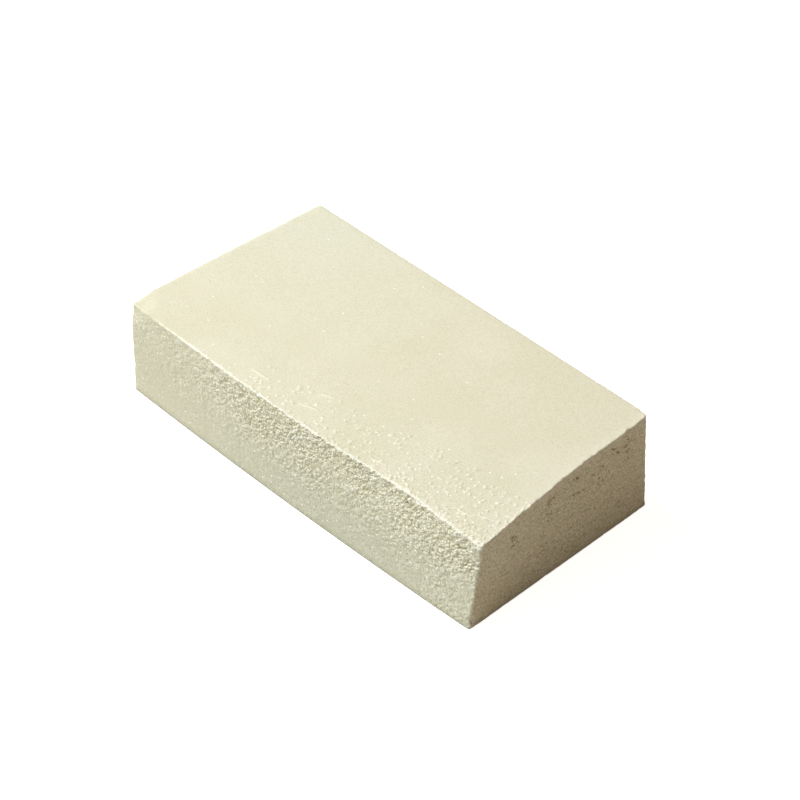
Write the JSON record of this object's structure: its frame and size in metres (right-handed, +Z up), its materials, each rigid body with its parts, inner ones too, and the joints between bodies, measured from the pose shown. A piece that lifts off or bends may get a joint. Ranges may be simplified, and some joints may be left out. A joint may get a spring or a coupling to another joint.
{
  "type": "gymnastics chalk block",
  "caption": "Solid pressed block of magnesium carbonate grip chalk, flat underneath, with its front top edge worn down towards one end.",
  "frame": {"origin": "centre of the flat underside's bounding box", "axes": "+X along the length towards the worn end, +Y from the leaning, rough long face to the square back face, +Z up"},
  "size_m": [0.1014, 0.0522, 0.024],
  "materials": {
    "chalk": "matt, powdery, finely grained, warm white"
  },
  "bodies": {
    "root": {"chalk_block": "chalk"}
  },
  "joints": []
}
